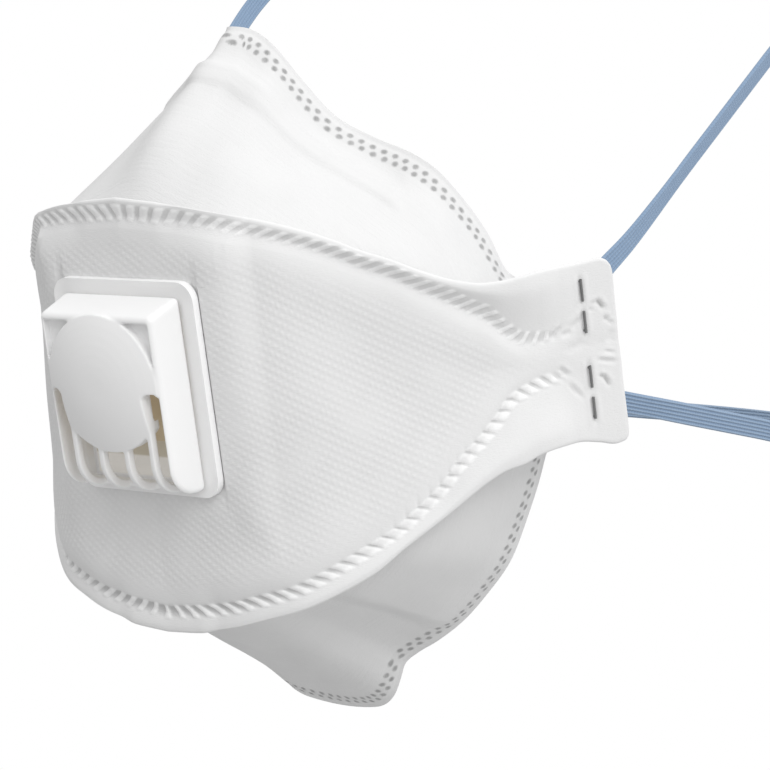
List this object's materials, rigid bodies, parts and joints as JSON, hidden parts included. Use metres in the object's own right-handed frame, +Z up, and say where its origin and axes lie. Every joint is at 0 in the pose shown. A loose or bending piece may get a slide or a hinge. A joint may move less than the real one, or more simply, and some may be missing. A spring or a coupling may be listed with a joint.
{
  "type": "valved respirator mask",
  "caption": "Folding respirator mask with a stiff middle panel, soft nose and chin panels, an exhalation valve and elastic head straps, in its worn form.",
  "frame": {"origin": "midway between the side tabs, where the mask sits against the face", "axes": "+X towards the wearer's left, +Y back into the face, +Z up"},
  "size_m": [0.163, 0.1946, 0.1971],
  "materials": {
    "nonwoven_cloth": "matt white non-woven cloth",
    "valve_plastic": "satin white moulding",
    "flap_rubber": "amber rubber sheet",
    "strap_elastic": "blue-grey ribbed elastic",
    "clip_metal": "dull strip",
    "staple_wire": "bright wire"
  },
  "bodies": {
    "root": {"front_panel": "nonwoven_cloth", "nose_panel": "nonwoven_cloth", "chin_panel": "nonwoven_cloth", "nose_clip": "clip_metal", "valve_seat": "valve_plastic", "valve_cover": "valve_plastic", "valve_flap": "flap_rubber", "head_strap": "strap_elastic", "neck_strap": "strap_elastic", "upper_left_staple": "staple_wire", "upper_right_staple": "staple_wire", "lower_left_staple": "staple_wire", "lower_right_staple": "staple_wire"}
  },
  "joints": []
}
